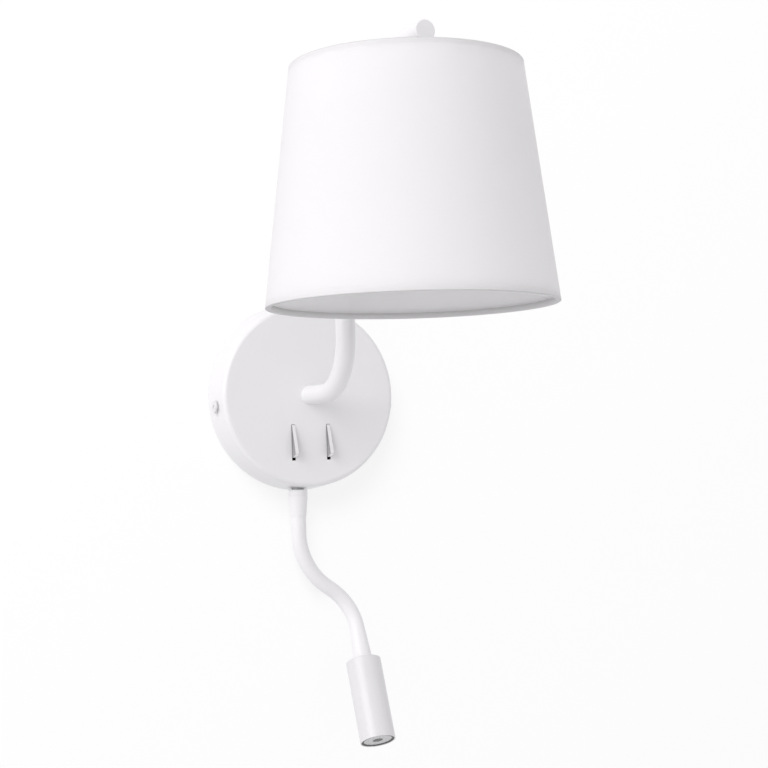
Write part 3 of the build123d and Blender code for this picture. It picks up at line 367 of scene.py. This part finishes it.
# Flank colours are painted shade; the foot's near white is a painted highlight.
rocker_painted_light = rocker_with_painted_light("rocker_moulding_painted_light", face=(0.82, 0.82, 0.82), flank_shade_top=(0.20, 0.20, 0.205),
                        flank_shade_low=(0.35, 0.35, 0.355))
neck_skin = coated("neck_skin", (0.85, 0.85, 0.855), rough=0.50, grain=0.00003)
cover_cloth = woven("shade_cloth", (0.96, 0.96, 0.96), pitch=0.0006, depth=0.00003, glow=0.34)
# The hem is the cover's own cloth turned in; its darker colour is painted shade of the fold inside the
# shade.
hem_cloth_painted_shade = woven("hem_cloth_painted_shade", (0.70, 0.70, 0.70), pitch=0.0006, depth=0.00004, glow=0.05)
lining = woven("shade_lining", (0.95, 0.95, 0.95), pitch=0.0004, depth=0.00001, glow=0.48, rough=0.6)

CAD_FINISH = {
    white_paint: ["canopy", "neck_upper_sleeve", "neck_lower_sleeve"],
    arm_paint_shaded: ["arm_tube", "arm_end_cap"],
    head_paint_shaded: ["head_body"],
    wire_paint: ["shade_bottom_ring", "shade_carrier"],
    white_moulding: ["shade_clamp_ring", "holder_cap", "holder_body", "bulb_body"],
    rocker_painted_light: ["rocker_left", "rocker_right"],
    core_moulding: ["holder_core", "led_driver", "terminal_block"],
    black_moulding: ["switch_housing_left", "switch_housing_right"],
    dark_moulding: ["lens_ring"],
    opal: ["bulb_globe"],
    sheath: ["lamp_lead", "reader_lead"],
    chip: ["led_chip"],
    zinc: ["wall_bracket", "arm_stud", "arm_washer", "arm_nut", "holder_nipple", "neck_nut",
           "head_nut"],
    stud_gap_shade: ["neck_stud"],
    screw_coat: ["canopy_side_screws"],
    brass: ["earth_screw", "holder_screw_shell", "holder_contact", "bulb_contact", "switch_tags"],
    aluminium: ["bulb_cap", "heat_slug", "led_board"],
    lens: ["reading_lens"],
}


def finish_cad():
    """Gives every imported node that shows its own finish."""
    for mat, names in CAD_FINISH.items():
        for name in names:
            node = NODES[name]
            for index in range(len(node.material_slots)):
                node.material_slots[index].material = mat


# ---- Mesh helpers ----
def add_mesh(name, vertices, faces, uvs, mat, body="fixture"):
    """A smooth mesh piece that rides on a body, or on none; uvs are given per vertex of
    each face."""
    data = bpy.data.meshes.new(name)
    data.from_pydata([tuple(v) for v in vertices], [], faces)
    layer = data.uv_layers.new(name="UVMap")
    for loop, uv in zip(layer.data, [uv for face in uvs for uv in face]):
        loop.uv = uv
    data.polygons.foreach_set("use_smooth", [True] * len(data.polygons))
    data.update()
    piece = bpy.data.objects.new(name, data)
    bpy.context.scene.collection.objects.link(piece)
    data.materials.append(mat)
    if body:
        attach(piece, body)
    return piece


def shade_radius(z, inset=0.0):
    """Outside radius of the shade at a height, less an inset."""
    share = (SHADE_TOP_Z - z) / (SHADE_TOP_Z - SHADE_BOTTOM_Z)
    return SHADE_TOP_R + (SHADE_BOTTOM_R - SHADE_TOP_R) * share - inset


def turned(name, profile, mat, ripple=None, closed=True):
    """A (radius, z) profile turned about the shade's axis, with UVs in metres. An open
    profile gives a thin sheet."""
    vertices, faces, uvs = [], [], []
    count = len(profile)
    spans = count if closed else count - 1
    lengths = [0.0]
    for i in range(spans):
        a, b = profile[i], profile[(i + 1) % count]
        lengths.append(lengths[-1] + math.dist(a, b))
    for s in range(ROUND_STEPS):
        angle = 2 * math.pi * s / ROUND_STEPS
        for radius, z in profile:
            grown = radius + (ripple(angle, z) if ripple else 0.0)
            vertices.append((grown * math.sin(angle), SHADE_AXIS_Y - grown * math.cos(angle), z))
    girth = 2 * math.pi * SHADE_BOTTOM_R
    for s in range(ROUND_STEPS):
        following = (s + 1) % ROUND_STEPS
        u0 = girth * s / ROUND_STEPS
        u1 = girth * (s + 1) / ROUND_STEPS
        for i in range(spans):
            j = (i + 1) % count
            faces.append((s * count + i, following * count + i, following * count + j, s * count + j))
            uvs.append([(u0, lengths[i]), (u1, lengths[i]), (u1, lengths[i + 1]), (u0, lengths[i + 1])])
    return add_mesh(name, vertices, faces, uvs, mat)


# ---- Shade ----
SEAM_ANGLE = math.radians(158)   # the lap seam faces the wall
SEAM_WIDTH = 0.010
SEAM_STEP = 0.00035
SEAM_EDGE = 6              # each edge rises over one part in this many of half the width
RIPPLE = 0.00006


def cloth_ripple(angle, z):
    """Slight unevenness of stretched cloth, with the lap seam at the back."""
    span = (z - SHADE_BOTTOM_Z) / (SHADE_TOP_Z - SHADE_BOTTOM_Z)
    free = math.sin(math.pi * min(max(span, 0), 1))
    wave = RIPPLE * free * math.sin(7 * angle + 2 * span) * math.sin(3 * angle + 1.0)
    off = abs((angle - SEAM_ANGLE) * shade_radius(z)) / (SEAM_WIDTH / 2)
    seam = SEAM_STEP * max(0.0, min(1.0, (1 - off) * SEAM_EDGE))
    return wave + seam


HEM_LINE_UP = 0.0033       # the hem shows through the cover this far from the edge
HEM_LINE_DEPTH = 0.00006
HEM_LINE_HALF = 0.0003
HEM_FOLD_R = 0.00035       # at the shade's outer edge
HEM_ROUND_R = 0.0009       # at its inner edge


def sheet_profile(inset, line=False):
    """Outline of one layer of the shade, with the hem's line pressed into the cover."""
    low = SHADE_BOTTOM_Z + HEM_THICK
    high = SHADE_TOP_Z - HEM_THICK
    points = [(0.0, low + (high - low) * i / SHEET_ROWS) for i in range(SHEET_ROWS + 1)]
    if line:
        for z in (SHADE_BOTTOM_Z + HEM_LINE_UP, SHADE_TOP_Z - HEM_LINE_UP):
            points += [(0.0, z - HEM_LINE_HALF), (HEM_LINE_DEPTH, z), (0.0, z + HEM_LINE_HALF)]
    points.sort(key=lambda point: point[1])
    return [(shade_radius(z, inset + deep), z) for deep, z in points]


def hem_profile(edge_z, inward):
    """Outline of the hem turned in over the ring wire, with soft folds."""
    web = edge_z + inward * HEM_THICK
    inner_end = edge_z + inward * HEM_INSIDE
    points = [(shade_radius(web), web)]
    for i in range(HEM_FOLD_STEPS + 1):
        turn = math.radians(90 * i / HEM_FOLD_STEPS)
        z = edge_z + inward * HEM_FOLD_R * (1 - math.sin(turn))
        points.append((shade_radius(z, HEM_FOLD_R * (1 - math.cos(turn))), z))
    for i in range(HEM_ROUND_STEPS + 1):
        turn = math.radians(90 * i / HEM_ROUND_STEPS)
        z = edge_z + inward * HEM_ROUND_R * (1 - math.cos(turn))
        points.append((shade_radius(z, HEM_DEEP - HEM_ROUND_R * (1 - math.sin(turn))), z))
    points += [(shade_radius(inner_end, HEM_DEEP), inner_end),
               (shade_radius(inner_end, HEM_DEEP - HEM_THICK), inner_end)]
    under_r = HEM_ROUND_R - HEM_THICK
    for i in range(HEM_FOLD_STEPS + 1):
        turn = math.radians(90 - 90 * i / HEM_FOLD_STEPS)
        z = web + inward * under_r * (1 - math.cos(turn))
        points.append((shade_radius(z, HEM_DEEP - HEM_THICK - under_r * (1 - math.sin(turn))), z))
    return points if inward > 0 else list(reversed(points))


def build_shade():
    """The cover, the liner and the two hems."""
    cover = turned("shade_cover_cloth", sheet_profile(0.0, line=True), cover_cloth, cloth_ripple,
                   closed=False)
    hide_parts("shade_cover")
    liner = turned("shade_liner_sheet", sheet_profile(LINER_INSET), lining, closed=False)
    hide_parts("shade_liner")
    for name, node, edge_z, inward in (("shade_bottom_hem", "shade_bottom_trim", SHADE_BOTTOM_Z, 1),
                                       ("shade_top_hem", "shade_top_trim", SHADE_TOP_Z, -1)):
        hem = turned(name, hem_profile(edge_z, inward), hem_cloth_painted_shade)
        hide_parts(node)


# ---- Flexible neck ----
NECK_UV_ROUND = 0.028      # UV width of one turn round the neck


def bend(corner, a, b, radius):
    """Points of the arc that joins two directions at a corner."""
    half = a.angle(b) / 2
    tangent = radius * math.tan(half)
    first = corner - a * tangent
    side = (b - a * a.dot(b)).normalized()
    centre = first + side * radius
    arc = []
    for i in range(ARC_STEPS + 1):
        turn = 2 * half * i / ARC_STEPS
        arc.append(centre - side * radius * math.cos(turn) + a * radius * math.sin(turn))
    return arc


def between(a, b, steps):
    """Points that divide a straight run, without its ends."""
    return [a.lerp(b, i / steps) for i in range(1, steps)]


def neck_line():
    """Middle line of the neck: its points, the length along it at each, and the lengths at
    which the four hinges lie."""
    start_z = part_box("neck_hose_1")[1][2]
    start = Vector((NECK_CORNER_A.x, NECK_CORNER_A.y, start_z))
    down = (NECK_CORNER_A - start).normalized()
    across = (NECK_CORNER_B - NECK_CORNER_A).normalized()
    last = (NECK_END - NECK_CORNER_B).normalized()
    arc_a = bend(NECK_CORNER_A, down, across, NECK_BEND_A)
    arc_b = bend(NECK_CORNER_B, across, last, NECK_BEND_B)
    grip = NECK_END - last * (LOWER_SLEEVE_H - SLEEVE_GRIP)
    half_way = ARC_STEPS // 2
    marks = [arc_a[0], arc_a[half_way], (arc_a[-1] + arc_b[0]) / 2, arc_b[half_way]]
    points = [start] + between(start, arc_a[0], RUN_STEPS[0]) + arc_a
    points += between(arc_a[-1], arc_b[0], RUN_STEPS[1]) + arc_b
    points += between(arc_b[-1], grip, RUN_STEPS[2]) + [grip]
    lengths = [0.0]
    for a, b in zip(points, points[1:]):
        lengths.append(lengths[-1] + (b - a).length)
    hinges = [lengths[min(range(len(points)), key=lambda i: (points[i] - m).length)] for m in marks]
    return points, lengths, hinges


def point_at(points, lengths, where):
    """Point and direction at a length along the line."""
    last = len(points) - 1
    i = next((i for i in range(1, last) if lengths[i] >= where), last)
    share = (where - lengths[i - 1]) / (lengths[i] - lengths[i - 1])
    before = points[max(i - 2, 0)]
    after = points[min(i + 1, last)]
    return points[i - 1].lerp(points[i], share), (after - before).normalized()


def skin_mesh(points, lengths, low, high):
    """Tube of the neck's skin between two lengths along the line."""
    vertices, faces, uvs = [], [], []
    side = Vector((0, -1, 0))
    rows = [low + (high - low) * s / NECK_RINGS for s in range(NECK_RINGS + 1)]
    for where in rows:
        middle, ahead = point_at(points, lengths, where)
        across = ahead.cross(side).normalized()
        up = across.cross(ahead).normalized()
        for a in range(NECK_SIDES):
            turn = 2 * math.pi * a / NECK_SIDES
            vertices.append(middle + (across * math.cos(turn) + up * math.sin(turn)) * NECK_R)
    for s in range(NECK_RINGS):
        here = s * NECK_SIDES
        beyond = here + NECK_SIDES
        for a in range(NECK_SIDES):
            b = (a + 1) % NECK_SIDES
            faces.append((here + a, here + b, beyond + b, beyond + a))
            u0 = a / NECK_SIDES * NECK_UV_ROUND
            u1 = (a + 1) / NECK_SIDES * NECK_UV_ROUND
            uvs.append([(u0, rows[s]), (u1, rows[s]), (u1, rows[s + 1]), (u0, rows[s + 1])])
    return vertices, faces, uvs


def build_neck():
    """The neck's skin in four lengths, each over one hinge of the neck, in place of the hose nodes,
    which are hidden.
    """
    points, lengths, hinges = neck_line()
    cuts = [0.0] + [(a + b) / 2 for a, b in zip(hinges, hinges[1:])] + [lengths[-1]]
    nodes = [["neck_hose_1", "neck_hose_2"], ["neck_hose_3"], ["neck_hose_4"], ["neck_hose_5"]]
    for k, hinge in enumerate(hinges):
        vertices, faces, uvs = skin_mesh(points, lengths, cuts[k], cuts[k + 1])
        piece = add_mesh(f"neck_skin_{k + 1}", vertices, faces, uvs, neck_skin, body=None)
        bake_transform(piece)
        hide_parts(*nodes[k])


# ---- Stage, light and camera ----
def stage_plane(name, corners, open_behind):
    """A white surface that only the camera sees. It shines by itself and keeps a faint
    shadow. open_behind makes its back clear."""
    data = bpy.data.meshes.new(name)
    data.from_pydata(corners, [], [(0, 1, 2, 3)])
    plane = bpy.data.objects.new(name, data)
    bpy.context.scene.collection.objects.link(plane)
    mat, tree, out = new_material(name + "_white")
    glow = add(tree, "ShaderNodeEmission", Color=(1, 1, 1, 1), Strength=WALL_GLOW)
    matt = add(tree, "ShaderNodeBsdfDiffuse", Color=(WALL_MATT, WALL_MATT, WALL_MATT, 1))
    both = tree.nodes.new("ShaderNodeAddShader")
    tree.links.new(glow.outputs[0], both.inputs[0])
    tree.links.new(matt.outputs[0], both.inputs[1])
    hollow = tree.nodes.new("ShaderNodeBsdfTransparent")
    pick = add(tree, "ShaderNodeMixShader", Fac=0.0)
    if open_behind:
        geometry = tree.nodes.new("ShaderNodeNewGeometry")
        tree.links.new(geometry.outputs["Backfacing"], pick.inputs["Fac"])
    tree.links.new(both.outputs[0], pick.inputs[1])
    tree.links.new(hollow.outputs[0], pick.inputs[2])
    tree.links.new(pick.outputs[0], out.inputs["Surface"])
    data.materials.append(mat)
    plane.visible_diffuse = False
    plane.visible_glossy = False
    plane.visible_transmission = False
    plane.visible_shadow = False
    return plane


def backdrop():
    """The wall behind the lamp and the floor below it; gives the wall."""
    left, right = -STAGE_HALF, STAGE_HALF
    wall = stage_plane("wall", [(left, WALL_Y, WALL_FOOT_Z), (right, WALL_Y, WALL_FOOT_Z),
                                (right, WALL_Y, WALL_TOP_Z), (left, WALL_Y, WALL_TOP_Z)],
                       open_behind=True)
    floor = stage_plane("floor", [(left, FLOOR_FRONT_Y, FLOOR_Z), (right, FLOOR_FRONT_Y, FLOOR_Z),
                                  (right, FLOOR_BACK_Y, FLOOR_Z), (left, FLOOR_BACK_Y, FLOOR_Z)],
                        open_behind=False)
    return wall


def sky():
    """Even studio light, slightly stronger from above. The camera, gloss and clear plastic
    see plain white in its place."""
    world = bpy.data.worlds.new("studio")
    bpy.context.scene.world = world
    world.use_nodes = True
    tree = world.node_tree
    tree.nodes.clear()
    out = tree.nodes.new("ShaderNodeOutputWorld")
    direction = tree.nodes.new("ShaderNodeTexCoord")
    split = tree.nodes.new("ShaderNodeSeparateXYZ")
    tree.links.new(direction.outputs["Generated"], split.inputs[0])
    level = add(tree, "ShaderNodeMapRange", From_Min=-1.0, From_Max=1.0, To_Min=SKY - SKY_LIFT,
                To_Max=SKY + SKY_LIFT)
    tree.links.new(split.outputs["Z"], level.inputs["Value"])
    lit = add(tree, "ShaderNodeBackground", Color=(*LIGHT_TINT, 1))
    tree.links.new(level.outputs["Result"], lit.inputs["Strength"])
    seen = add(tree, "ShaderNodeBackground", Color=(1, 1, 1, 1), Strength=1.0)
    path = tree.nodes.new("ShaderNodeLightPath")
    clear = tree.nodes.new("ShaderNodeMath")   # through glass, but not through cloth
    clear.operation = "SUBTRACT"
    tree.links.new(path.outputs["Is Transmission Ray"], clear.inputs[0])
    tree.links.new(path.outputs["Is Diffuse Ray"], clear.inputs[1])
    sees_white = path.outputs["Is Camera Ray"]
    for ray in (path.outputs["Is Glossy Ray"], clear.outputs[0]):
        either = tree.nodes.new("ShaderNodeMath")
        either.operation = "MAXIMUM"
        tree.links.new(sees_white, either.inputs[0])
        tree.links.new(ray, either.inputs[1])
        sees_white = either.outputs[0]
    pick = tree.nodes.new("ShaderNodeMixShader")
    tree.links.new(sees_white, pick.inputs["Fac"])
    tree.links.new(lit.outputs[0], pick.inputs[1])
    tree.links.new(seen.outputs[0], pick.inputs[2])
    tree.links.new(pick.outputs[0], out.inputs["Surface"])


def soft_lamp(name, level, size, direction, distance):
    """A square lamp that gives a surface facing it, where it aims, a light of this level."""
    data = bpy.data.lights.new(name, "AREA")
    data.shape = "SQUARE"
    data.size = size
    data.color = LIGHT_TINT
    data.energy = level * (math.pi * distance) ** 2
    lamp = bpy.data.objects.new(name, data)
    bpy.context.scene.collection.objects.link(lamp)
    toward = direction.normalized()
    lamp.location = LAMP_AIM + toward * distance
    lamp.rotation_euler = (-toward).to_track_quat("-Z", "Y").to_euler()
    return lamp


def light_group(name, objects, state="INCLUDE"):
    """The objects that a lamp lights, or that keep its light off."""
    group = bpy.data.collections.new(name)
    for item in objects:
        group.objects.link(item)
    for entry in group.collection_objects:
        entry.light_linking.link_state = state
    return group


def lamps(wall):
    """One large soft lamp, on the left and above. The backdrop has a lamp of its own, in
    which only what lies near the wall throws a shadow."""
    key = soft_lamp("key", KEY_LEVEL, KEY_SIZE, KEY_FROM, KEY_DISTANCE)
    key.light_linking.receiver_collection = light_group("not_by_key", [wall], "EXCLUDE")
    wash = soft_lamp("wash", WASH_LEVEL, WASH_SIZE, WASH_FROM, WASH_DISTANCE)
    wash.light_linking.receiver_collection = light_group("by_wash", [wall])
    near = [NODES["canopy"], NODES["neck_upper_sleeve"], bpy.data.objects["neck_skin_1"],
            bpy.data.objects["neck_skin_2"]]
    wash.light_linking.blocker_collection = light_group("shade_in_wash", near)


def camera():
    """The photograph's viewpoint."""
    data = bpy.data.cameras.new("camera")
    data.sensor_width = CAMERA_SENSOR
    data.lens = CAMERA_LENS
    data.clip_end = CAMERA_REACH
    view = bpy.data.objects.new("camera", data)
    bpy.context.scene.collection.objects.link(view)
    back = CAMERA_RIGHT.cross(CAMERA_UP)
    turn = Matrix((CAMERA_RIGHT, CAMERA_UP, back)).transposed().to_4x4()
    view.matrix_world = Matrix.Translation(CAMERA_AT) @ turn
    bpy.context.scene.camera = view


finish_cad()
build_shade()
build_neck()
lamps(backdrop())
sky()
camera()
bpy.context.scene.view_settings.view_transform = "Standard"
